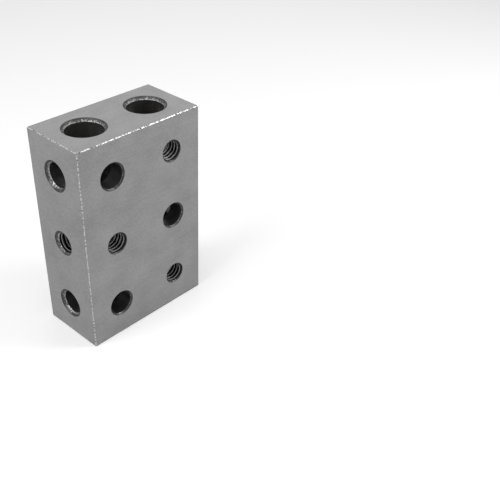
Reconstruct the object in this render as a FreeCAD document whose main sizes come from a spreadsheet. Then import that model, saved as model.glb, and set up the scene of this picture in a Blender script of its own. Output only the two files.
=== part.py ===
import FreeCAD, Part
import os
import Sketcher

# A 1-2-3 setup block: one rectangular piece of tool steel, hardened and ground to 1 x 2 x 3 inches.
# It stands on its 1 x 2 inch end, with +Z up and the origin at the centre of that end. X is the
# 2 inch width and Y the 1 inch thickness.
#
# Eleven stepped bores run right through it in three directions and cross at six points. Each one is
# narrow for a short wall behind one face and wide for the rest of its length, so that a 5/16 inch cap
# screw goes in head last from the wide end. The narrow wall is either a plain clearance hole or a
# hole at tapping size for a 5/16-18 thread, and the two kinds alternate over the block.

SIZES = (
    # outside of the block
    ("width", 50.8),
    ("thickness", 25.4),
    ("height", 76.2),
    ("edge_break", 0.25),
    # grid on which the bores lie, centred on every face
    ("column_pitch", 25.4),
    ("row_pitch", 25.4),
    # the narrow ends, drilled through the wall that the screw head pulls against
    ("plain_bore", 8.73),
    ("tap_bore", 6.53),
    # that wall and its mouths behind the 2 x 3 inch face, and behind the 1 x 3 and 1 x 2 inch ones
    ("face_wall", 6.2),
    ("face_plain_mouth", 9.9),
    ("face_tap_mouth", 8.2),
    ("edge_wall", 4.76),
    ("edge_plain_mouth", 10.9),
    ("edge_tap_mouth", 9.1),
    # the wide ends, which take the screw head
    ("head_bore", 12.8),
    ("head_mouth", 14.9),
    ("mouth_angle", 90.0),
)


def make_sheet(doc):
    """Writes the driving sizes into a spreadsheet, one aliased cell each."""
    sheet = doc.addObject("Spreadsheet::Sheet", "Sizes")
    for line, (alias, value) in enumerate(SIZES, start=1):
        sheet.set(f"A{line}", alias)
        sheet.set(f"B{line}", str(value))
        sheet.setAlias(f"B{line}", alias)
    doc.recompute()
    return sheet


def origin_plane(body, role):
    """Returns the body's own origin plane with this role."""
    return next(plane for plane in body.Origin.OriginFeatures if plane.Role == role)


def make_blank(body, sheet):
    """The blank: a rectangle on the ground plane, padded to the full height, its edges broken."""
    outline = body.newObject("Sketcher::SketchObject", "BlankOutline")
    outline.AttachmentSupport = [(origin_plane(body, "XY_Plane"), "")]
    outline.MapMode = "FlatFace"
    half_x, half_y = sheet.width / 2, sheet.thickness / 2
    corners = [
        FreeCAD.Vector(-half_x, -half_y, 0),
        FreeCAD.Vector(half_x, -half_y, 0),
        FreeCAD.Vector(half_x, half_y, 0),
        FreeCAD.Vector(-half_x, half_y, 0),
    ]
    for start, end in zip(corners, corners[1:] + corners[:1]):
        outline.addGeometry(Part.LineSegment(start, end))
    for side in range(4):
        outline.addConstraint(Sketcher.Constraint("Coincident", side, 2, (side + 1) % 4, 1))
    outline.addConstraint(Sketcher.Constraint("Horizontal", 0))
    outline.addConstraint(Sketcher.Constraint("Horizontal", 2))
    outline.addConstraint(Sketcher.Constraint("Vertical", 1))
    outline.addConstraint(Sketcher.Constraint("Vertical", 3))
    outline.addConstraint(Sketcher.Constraint("Symmetric", 0, 1, 1, 2, -1, 1))
    across = outline.addConstraint(Sketcher.Constraint("DistanceX", 0, 1, 0, 2, 2 * half_x))
    outline.setExpression(f"Constraints[{across}]", "Sizes.width")
    along = outline.addConstraint(Sketcher.Constraint("DistanceY", 1, 1, 1, 2, 2 * half_y))
    outline.setExpression(f"Constraints[{along}]", "Sizes.thickness")

    pad = body.newObject("PartDesign::Pad", "Blank")
    pad.Profile = outline
    pad.setExpression("Length", "Sizes.height")
    body.Document.recompute()

    edges = body.newObject("PartDesign::Chamfer", "BrokenEdges")
    edges.Base = (pad, [f"Edge{number}" for number in range(1, len(pad.Shape.Edges) + 1)])
    edges.setExpression("Size", "Sizes.edge_break")
    body.Document.recompute()


def centre_sketch(body, name, role, offset, centres, diameter):
    """Circles on a plane parallel to an origin plane, at places given as expressions.

    A centre is a pair of (direction, distance), where a direction of 0 puts it on the axis.
    """
    sketch = body.newObject("Sketcher::SketchObject", name)
    sketch.AttachmentSupport = [(origin_plane(body, role), "")]
    sketch.MapMode = "FlatFace"
    sketch.setExpression(".AttachmentOffset.Base.z", offset)
    for across, up in centres:
        guess = FreeCAD.Vector(across[0] * 10, up[0] * 10, 0)
        circle = sketch.addGeometry(Part.Circle(guess, FreeCAD.Vector(0, 0, 1), 1))
        for kind, axis, (direction, distance) in (("DistanceX", -2, across), ("DistanceY", -1, up)):
            if direction == 0:
                sketch.addConstraint(Sketcher.Constraint("PointOnObject", circle, 3, axis))
                continue
            ends = (-1, 1, circle, 3) if direction > 0 else (circle, 3, -1, 1)
            number = sketch.addConstraint(Sketcher.Constraint(kind, *ends, 10))
            sketch.setExpression(f"Constraints[{number}]", distance)
        number = sketch.addConstraint(Sketcher.Constraint("Diameter", circle, 2))
        sketch.setExpression(f"Constraints[{number}]", diameter)
    body.Document.recompute()
    return sketch


def drill(body, name, sketch, bore, mouth, reverse, depth=None):
    """Drills the sketch's circles with a countersunk mouth, right through or to a flat floor."""
    before = body.Shape.Volume
    hole = body.newObject("PartDesign::Hole", name)
    hole.Profile = sketch
    hole.Reversed = reverse
    hole.ThreadType = "None"
    hole.setExpression("Diameter", bore)
    hole.HoleCutType = "Countersink"
    hole.setExpression("HoleCutDiameter", mouth)
    hole.setExpression("HoleCutCountersinkAngle", "Sizes.mouth_angle")
    hole.DrillPoint = "Flat"
    if depth is None:
        hole.DepthType = "ThroughAll"
    else:
        hole.DepthType = "Dimension"
        hole.setExpression("Depth", depth)
    body.Document.recompute()
    if body.Shape.Volume >= before:
        raise RuntimeError(f"{name} cuts nothing")


# The grid: two columns left and right of the middle, three rows up the height.
LEFT = (-1, "Sizes.column_pitch / 2")
RIGHT = (1, "Sizes.column_pitch / 2")
MIDDLE = (0, "")
LOWER = (1, "Sizes.height / 2 - Sizes.row_pitch")
CENTRE = (1, "Sizes.height / 2")
UPPER = (1, "Sizes.height / 2 + Sizes.row_pitch")

# One direction of bores each: the plane they are square to, where its narrow and its wide face lie
# along that plane's normal, whether drilling inwards from the narrow face follows the normal, the
# length of the bores, the kind of wall, and the places of the plain and of the tapped ones.
DIRECTIONS = (
    (
        "Thickness", "XZ_Plane", "Sizes.thickness / 2", "-Sizes.thickness / 2", False, "Sizes.thickness",
        "face", ((LEFT, UPPER), (RIGHT, CENTRE), (LEFT, LOWER)),
        ((RIGHT, UPPER), (LEFT, CENTRE), (RIGHT, LOWER)),
    ),
    (
        "Width", "YZ_Plane", "-Sizes.width / 2", "Sizes.width / 2", True, "Sizes.width",
        "edge", ((MIDDLE, UPPER), (MIDDLE, LOWER)),
        ((MIDDLE, CENTRE),),
    ),
    (
        "Height", "XY_Plane", "0", "Sizes.height", True, "Sizes.height",
        "edge", ((RIGHT, MIDDLE),),
        ((LEFT, MIDDLE),),
    ),
)


def drill_stepped_bores(body):
    """Drills the wide ends, then the plain and the tapping-size walls, direction by direction."""
    for name, role, narrow_face, wide_face, inwards, length, wall, plain, tapped in DIRECTIONS:
        wide = centre_sketch(body, f"{name}HeadCentres", role, wide_face, plain + tapped, "Sizes.head_bore")
        drill(body, f"{name}HeadBores", wide, "Sizes.head_bore", "Sizes.head_mouth", not inwards,
              f"{length} - Sizes.{wall}_wall")
        for label, kind, places in (("Plain", "plain", plain), ("Tapped", "tap", tapped)):
            bore = f"Sizes.{kind}_bore"
            centres = centre_sketch(body, f"{name}{label}Centres", role, narrow_face, places, bore)
            drill(body, f"{name}{label}Bores", centres, bore, f"Sizes.{wall}_{kind}_mouth", inwards)


def make_setup_block(doc, sheet):
    """The block: a blank with broken edges, drilled through in three directions."""
    body = doc.addObject("PartDesign::Body", "setup_block")
    body.Label = "setup_block"
    make_blank(body, sheet)
    drill_stepped_bores(body)
    return body


def check(doc, pieces):
    """Stops before anything is written if a feature failed or a shape is unusable."""
    for item in doc.Objects:
        if "Invalid" in item.State or "Error" in item.State:
            raise RuntimeError(f"{item.Name} failed: {item.State}")
    for piece in pieces:
        if piece.Shape.isNull() or not piece.Shape.isValid() or len(piece.Shape.Solids) != 1:
            raise RuntimeError(f"{piece.Label} is not one valid solid")


document = FreeCAD.newDocument("SetupBlock")
pieces = [make_setup_block(document, make_sheet(document))]
document.recompute()
check(document, pieces)
os.makedirs("parts", exist_ok=True)
for piece in pieces:
    piece.Shape.exportStep(f"parts/{piece.Label}.step")
    box = piece.Shape.BoundBox
    print(piece.Label, [round(side, 3) for side in (box.XLength, box.YLength, box.ZLength)],
          "volume", round(piece.Shape.Volume, 1), "faces", len(piece.Shape.Faces))
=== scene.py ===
import math

import bmesh
import bpy
from mathutils import Matrix, Vector


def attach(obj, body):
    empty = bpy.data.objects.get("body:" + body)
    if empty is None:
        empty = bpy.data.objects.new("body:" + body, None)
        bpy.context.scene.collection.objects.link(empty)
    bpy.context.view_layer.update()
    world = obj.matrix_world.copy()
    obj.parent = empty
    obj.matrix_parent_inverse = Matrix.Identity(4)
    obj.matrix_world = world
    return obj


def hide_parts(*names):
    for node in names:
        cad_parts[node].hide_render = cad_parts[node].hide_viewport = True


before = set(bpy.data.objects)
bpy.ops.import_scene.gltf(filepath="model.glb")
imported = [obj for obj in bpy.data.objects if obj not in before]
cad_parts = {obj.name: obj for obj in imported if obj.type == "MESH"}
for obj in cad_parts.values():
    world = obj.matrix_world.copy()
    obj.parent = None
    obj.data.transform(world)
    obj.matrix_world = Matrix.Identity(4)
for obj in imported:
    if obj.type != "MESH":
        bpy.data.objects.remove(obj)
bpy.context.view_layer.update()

# ---------------------------------------------------------------------------------------------
# The block: one rectangular piece of hardened tool steel, surface ground on all six faces to
# 1 x 2 x 3 inches, with eleven countersunk bores through it. The solid has the tapped walls at
# tapping size only, so the 5/16-18 threads are cut here, in a copy of the block's own mesh. All
# lengths of the block are in mm.
MM = 0.001
WELD = 0.002
HALF_WIDTH, HALF_THICKNESS, HEIGHT = 25.4, 12.7, 76.2
BEVEL_DEPTH = 1.05
# the thread: 18 turns to the inch, flanks at 30 degrees, and a run-out past both ends of the wall
PITCH = 25.4 / 18
TAPPING_RADIUS = 3.265
ROOT_RADIUS = 3.98
ROOT_FLAT = PITCH / 8
FLANK = math.tan(math.radians(30))
OVERLAP = 0.15
RUN_OUT = 1.2
STEPS_PER_TURN = 64
# the tapped walls: middle of the mouth, the way out of it, and how thick the wall is
TAPPED_WALLS = (
    ((12.7, -12.7, 63.5), (0, -1, 0), 6.2),
    ((-12.7, -12.7, 38.1), (0, -1, 0), 6.2),
    ((12.7, -12.7, 12.7), (0, -1, 0), 6.2),
    ((-25.4, 0, 38.1), (-1, 0, 0), 4.76),
    ((-12.7, 0, 0), (0, 0, -1), 4.76),
)


def thread_groove(length):
    """The groove of a right-hand thread along +Z: a closed ridge from inside the bore to its root."""
    inside = TAPPING_RADIUS - OVERLAP
    root = ROOT_FLAT / 2
    mouth = root + (ROOT_RADIUS - inside) * FLANK
    section = ((inside, -mouth), (ROOT_RADIUS, -root), (ROOT_RADIUS, root), (inside, mouth))
    ridge = bmesh.new()
    rings = []
    for step in range(int(length / PITCH * STEPS_PER_TURN) + 1):
        turn = step / STEPS_PER_TURN
        x, y = math.cos(2 * math.pi * turn), math.sin(2 * math.pi * turn)
        rings.append([ridge.verts.new((radius * x * MM, radius * y * MM, (turn * PITCH + rise) * MM))
                      for radius, rise in section])
    for below, above in zip(rings, rings[1:]):
        for side in range(4):
            after = (side + 1) % 4
            ridge.faces.new((below[side], below[after], above[after], above[side]))
    ridge.faces.new(rings[0][::-1])
    ridge.faces.new(rings[-1])
    bmesh.ops.recalc_face_normals(ridge, faces=ridge.faces)
    mesh = bpy.data.meshes.new("thread_groove")
    ridge.to_mesh(mesh)
    ridge.free()
    return mesh


block = bpy.data.objects.new("steel_block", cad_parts["setup_block"].data.copy())
bpy.context.scene.collection.objects.link(block)
joined = bmesh.new()
joined.from_mesh(block.data)
bmesh.ops.remove_doubles(joined, verts=joined.verts, dist=WELD * MM)
joined.to_mesh(block.data)
joined.free()

grooves = []
for mouth, way_out, wall in TAPPED_WALLS:
    way_out = Vector(way_out)
    groove = bpy.data.objects.new("thread_groove", thread_groove(wall + 2 * RUN_OUT))
    aim = Vector((0, 0, 1)).rotation_difference(way_out).to_matrix().to_4x4()
    groove.matrix_world = Matrix.Translation((Vector(mouth) - way_out * (wall + RUN_OUT)) * MM) @ aim
    bpy.context.scene.collection.objects.link(groove)
    tap = block.modifiers.new("tap", "BOOLEAN")
    tap.operation, tap.solver, tap.object = "DIFFERENCE", "EXACT", groove
    grooves.append(groove)
bpy.context.view_layer.update()
tapped = bpy.data.meshes.new_from_object(block.evaluated_get(bpy.context.evaluated_depsgraph_get()))
block.modifiers.clear()
block.data = tapped
for groove in grooves:
    bpy.data.objects.remove(groove)
for leftover in ("custom_normal", "UVMap"):
    if leftover in tapped.attributes:
        tapped.attributes.remove(tapped.attributes[leftover])
tapped.materials.clear()

# Every polygon is one of six finishes, told apart by where it lies and how it leans. A corner attribute
# goes from
# 0 at the outside of a bevel or the root of a thread to 1 at its inner rim or crest, to place painted
# highlight and shade.
LINES_ALONG_X, LINES_ALONG_Y, EDGE, BEVEL, BORE, THREAD = range(6)


def depths(point):
    """How deep a point in mm lies below the nearest face across X, across Y and across Z."""
    return (HALF_WIDTH - abs(point.x), HALF_THICKNESS - abs(point.y), min(point.z, HEIGHT - point.z))


def thread_radius(point):
    """Distance of a point from the axis of the tapped wall that it lies in, or None."""
    for mouth, way_out, wall in TAPPED_WALLS:
        arm = point - Vector(mouth)
        sunk = -arm.dot(Vector(way_out))
        off_axis = (arm + sunk * Vector(way_out)).length
        if -0.1 < sunk < wall + 0.01 and off_axis < ROOT_RADIUS + 0.05:
            return off_axis
    return None


# 0 to 1 across each bevel and thread: it places the painted highlight on bevel rims and thread crests and
#                                      the painted shade in thread roots
painted_rim_and_crest_light = tapped.attributes.new("painted_rim_and_crest_light", "FLOAT", "CORNER")
for polygon in tapped.polygons:
    centre = polygon.center / MM
    below = depths(centre)
    near = below.index(min(below))
    lean = abs(polygon.normal[near])
    if sorted(below)[1] < 0.2:  # within 0.2 mm of two faces
        finish = EDGE
    elif below[near] < 0.01:  # in a face
        finish = LINES_ALONG_Y if near == 0 else LINES_ALONG_X
    elif below[near] < BEVEL_DEPTH + 0.25 and 0.6 < lean < 0.8:  # just below a face, at 45 degrees
        finish = BEVEL
    elif thread_radius(centre) is not None:
        finish = THREAD
    else:
        finish = BORE
    polygon.material_index = finish
    polygon.use_smooth = finish in (BEVEL, BORE, THREAD)
    for corner in polygon.loop_indices:
        point = tapped.vertices[tapped.loops[corner].vertex_index].co / MM
        if finish == BEVEL:
            painted_rim_and_crest_light.data[corner].value = min(1.0, depths(point)[near] / BEVEL_DEPTH)
        elif finish == THREAD:
            off_axis = thread_radius(point) or ROOT_RADIUS
            painted_rim_and_crest_light.data[corner].value = (ROOT_RADIUS - off_axis) / (ROOT_RADIUS - TAPPING_RADIUS)
tapped.set_sharp_from_angle(angle=math.radians(28))
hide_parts("setup_block")
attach(block, "root")


def linear(hex_colour):
    """An sRGB hex colour as linear RGBA."""
    parts = [int(hex_colour[i:i + 2], 16) / 255 for i in (1, 3, 5)]
    return [c / 12.92 if c <= 0.04045 else ((c + 0.055) / 1.055) ** 2.4 for c in parts] + [1.0]


def node(material, kind, inputs=(), **settings):
    """Adds a node with its settings, and gives its inputs a value or a link."""
    new = material.node_tree.nodes.new(kind)
    for name, value in settings.items():
        setattr(new, name, value)
    for socket, value in dict(inputs).items():
        if isinstance(value, bpy.types.NodeSocket):
            material.node_tree.links.new(value, new.inputs[socket])
        else:
            new.inputs[socket].default_value = value
    return new


def new_steel(name, roughness=0.4, metallic=1.0):
    """A metal material and its shader."""
    material = bpy.data.materials.new(name)
    material.use_nodes = True
    shader = material.node_tree.nodes["Principled BSDF"]
    shader.inputs["Metallic"].default_value = metallic
    shader.inputs["Roughness"].default_value = roughness
    return material, shader


def ramp(material, factor, stops):
    """Colours from a factor, at the given places."""
    colours = node(material, "ShaderNodeValToRGB", {"Fac": factor})
    band = colours.color_ramp
    while len(band.elements) < len(stops):
        band.elements.new(0.5)
    for element, (place, colour) in zip(band.elements, stops):
        element.position, element.color = place, linear(colour)
    return colours.outputs["Color"]


def patch_noise(material, size, stretch=(1, 1, 1), detail=3.0):
    """Noise over the block in patches of about this size in mm, drawn out along an axis by stretch."""
    place = node(material, "ShaderNodeTexCoord")
    scaled = node(material, "ShaderNodeVectorMath", {0: place.outputs["Object"],
                  1: [1 / (MM * size * s) for s in stretch]}, operation="MULTIPLY")
    return node(material, "ShaderNodeTexNoise",
                {"Vector": scaled.outputs[0], "Scale": 1.0, "Detail": detail}).outputs["Fac"]


# Tool steel, surface ground: a fine-grained satin grey, with the wheel's lines one way over the face,
# faint clouds where it has been handled, and a slight glitter of grit. The lines are about 0.1 mm apart
# on a real one, too fine to show, so they are drawn 0.5 mm apart and weak.
def surface_ground(name, stretch):
    material, shader = new_steel(name)
    lines = patch_noise(material, 0.5, stretch)
    clouds = patch_noise(material, 11, detail=5.0)
    grit = patch_noise(material, 0.6, detail=1.0)
    lined = node(material, "ShaderNodeMix", {0: 0.3, 2: clouds, 3: lines}).outputs[0]
    grained = node(material, "ShaderNodeMix", {0: 0.4, 2: lined, 3: grit}).outputs[0]
    material.node_tree.links.new(
        ramp(material, grained, ((0.3, "#7c7c7d"), (0.7, "#949495"))), shader.inputs["Base Color"])
    rough = node(material, "ShaderNodeMapRange", {"Value": grained, "From Min": 0.3, "From Max": 0.7,
                 "To Min": 0.46, "To Max": 0.34})
    material.node_tree.links.new(rough.outputs["Result"], shader.inputs["Roughness"])
    relief = node(material, "ShaderNodeBump", {"Height": lines, "Strength": 0.25, "Distance": 0.01 * MM})
    material.node_tree.links.new(relief.outputs["Normal"], shader.inputs["Normal"])
    return material


# Tool steel, broken by hand with a stone: bright along the edge where the stone cut, that brightness also
# a painted highlight of the edge's glint; dark where a nick or the ground face's own burr is left.
def stoned_edge_with_glint(name):
    material, shader = new_steel(name)
    nicks_and_glint = patch_noise(material, 0.7, detail=4.0)
    # the light end of this ramp paints the glint along the edge; the dark end is the nicks
    material.node_tree.links.new(
        ramp(material, nicks_and_glint, ((0.34, "#3a3a3a"), (0.44, "#8c8c8c"), (0.58, "#c4c4c4"))),
        shader.inputs["Base Color"])
    rough = node(material, "ShaderNodeMapRange", {"Value": nicks_and_glint, "From Min": 0.35, "From Max": 0.65,
                 "To Min": 0.6, "To Max": 0.25})
    material.node_tree.links.new(rough.outputs["Result"], shader.inputs["Roughness"])
    return material


# Tool steel, countersunk: a chattered bevel, darkened in hardening, with a painted highlight along its
# inner rim.
def countersunk(name):
    material, shader = new_steel(name, roughness=0.42)
    depth = node(material, "ShaderNodeAttribute", attribute_name="painted_rim_and_crest_light").outputs["Fac"]
    chatter = patch_noise(material, 0.55, detail=4.0)
    rim_highlight_and_chatter = node(material, "ShaderNodeMath", {0: depth, 1: 0.35, 2: chatter}, operation="MULTIPLY_ADD")
    # the light top of this ramp, towards the inner rim, is a painted highlight
    material.node_tree.links.new(
        ramp(material, rim_highlight_and_chatter.outputs[0], ((0.38, "#383838"), (0.72, "#4c4c4c"), (0.9, "#9a9a9a"))),
        shader.inputs["Base Color"])
    relief = node(material, "ShaderNodeBump", {"Height": chatter, "Strength": 0.4, "Distance": 0.04 * MM})
    material.node_tree.links.new(relief.outputs["Normal"], shader.inputs["Normal"])
    return material


# Tool steel, drilled and hardened: a thin black scale that grinding never reaches, dull and uneven.
def hardened_bore(name):
    material, shader = new_steel(name, roughness=0.5, metallic=0.0)
    scale = patch_noise(material, 2.5, detail=4.0)
    material.node_tree.links.new(
        ramp(material, scale, ((0.35, "#161514"), (0.65, "#292726"))), shader.inputs["Base Color"])
    return material


# Tool steel, tapped: a painted highlight on the crests, and painted shade darkening the flanks into black
# roots.
def tapped_thread(name):
    material, shader = new_steel(name, roughness=0.38)
    crest = node(material, "ShaderNodeAttribute", attribute_name="painted_rim_and_crest_light").outputs["Fac"]
    # bright crests are a painted highlight, the near-black roots painted shade
    material.node_tree.links.new(
        ramp(material, crest, ((0.0, "#0c0c0c"), (0.7, "#2c2c2c"), (0.95, "#949494"))),
        shader.inputs["Base Color"])
    return material


for finish in (
    surface_ground("Tool steel surface ground along X", (14, 1, 1)),
    surface_ground("Tool steel surface ground along Y", (1, 14, 1)),
    stoned_edge_with_glint("Tool steel stoned edge with painted glint"),
    countersunk("Tool steel countersunk"),
    hardened_bore("Tool steel drilled and hardened"),
    tapped_thread("Tool steel tapped"),
):
    tapped.materials.append(finish)

# ---------------------------------------------------------------------------------------------
# The stage: white paper sheet, lit evenly, that keeps the block's soft shadow.
SHEET = 3.0
SHEET_GLOW = 0.25


def seen_rays(material):
    """1 on the rays that show a thing to the camera, straight, mirrored or through glass, else 0."""
    rays = node(material, "ShaderNodeLightPath").outputs
    straight = node(material, "ShaderNodeMath", {0: rays["Is Camera Ray"], 1: rays["Is Glossy Ray"]},
                    operation="MAXIMUM")
    return node(material, "ShaderNodeMath", {0: straight.outputs[0], 1: rays["Is Transmission Ray"]},
                operation="MAXIMUM").outputs[0]


sheet_mesh = bpy.data.meshes.new("floor")
sheet_mesh.from_pydata([(-SHEET, -SHEET, 0), (SHEET, -SHEET, 0), (SHEET, SHEET, 0), (-SHEET, SHEET, 0)],
                       [], [(0, 1, 2, 3)])
floor = bpy.data.objects.new("floor", sheet_mesh)
bpy.context.scene.collection.objects.link(floor)
paper = bpy.data.materials.new("White paper")
paper.use_nodes = True
paper.node_tree.nodes.clear()
glow = node(paper, "ShaderNodeMath", {0: seen_rays(paper), 1: SHEET_GLOW}, operation="MULTIPLY")
lit = node(paper, "ShaderNodeEmission", {"Strength": glow.outputs[0]})
matt = node(paper, "ShaderNodeBsdfDiffuse", {"Color": linear("#f2f2f2")})
both = node(paper, "ShaderNodeAddShader", {0: lit.outputs[0], 1: matt.outputs[0]})
node(paper, "ShaderNodeOutputMaterial", {"Surface": both.outputs[0]})
floor.data.materials.append(paper)

# ---------------------------------------------------------------------------------------------
# The studio: white all round, with four soft lamps: one behind on the right and one overhead for the
# top face, one high on the left for the sides, and a small one on the right that catches the edges.
LIGHT_GIVEN, LIGHT_SEEN = 0.35, 1.0
world = bpy.data.worlds.new("studio")
bpy.context.scene.world = world
world.use_nodes = True
world.node_tree.nodes["Background"].inputs["Color"].default_value = (1, 1, 1, 1)
strength = node(world, "ShaderNodeMix", {0: seen_rays(world), 2: LIGHT_GIVEN, 3: LIGHT_SEEN})
world.node_tree.links.new(strength.outputs[0], world.node_tree.nodes["Background"].inputs["Strength"])


def soft_lamp(name, place, target, size, watts):
    """A square lamp of this size at a place, turned to a target, all in metres."""
    lamp = bpy.data.lights.new(name, "AREA")
    lamp.size, lamp.energy = size, watts
    stand = bpy.data.objects.new(name, lamp)
    stand.location = place
    stand.rotation_euler = (Vector(target) - Vector(place)).to_track_quat("-Z", "Y").to_euler()
    bpy.context.scene.collection.objects.link(stand)


soft_lamp("key_lamp", (0.32, 0.3, 0.42), (0, 0, 0.05), 0.45, 0.2)
soft_lamp("top_lamp", (-0.04, -0.02, 0.55), (0, 0, 0), 0.2, 0.5)
soft_lamp("fill_lamp", (-0.5, 0.05, 0.4), (-0.08, 0, 0.03), 0.4, 1.7)
soft_lamp("edge_lamp", (0.31, -0.285, 0.32), (0, 0, 0.07), 0.2, 0.9)

# ---------------------------------------------------------------------------------------------
# The camera: above and to the left of the block's narrow-mouthed face, and rolled a little.
eye = Vector((-142.48, -182.49, 182.19)) * MM
bearing, dip, roll = math.radians(40.63), math.radians(-34.617), math.radians(2.604)
forward = Vector((math.cos(dip) * math.cos(bearing), math.cos(dip) * math.sin(bearing), math.sin(dip)))
level = forward.cross(Vector((0, 0, 1))).normalized()
over = level.cross(forward)
right = math.cos(roll) * level + math.sin(roll) * over
up = -math.sin(roll) * level + math.cos(roll) * over
lens = bpy.data.cameras.new("camera")
lens.sensor_width, lens.lens, lens.clip_start = 36.0, 54.6336, 0.01
camera = bpy.data.objects.new("camera", lens)
camera.matrix_world = Matrix.Translation(eye) @ Matrix((right, up, -forward)).transposed().to_4x4()
bpy.context.scene.collection.objects.link(camera)
bpy.context.scene.camera = camera
bpy.context.scene.view_settings.view_transform = "Standard"
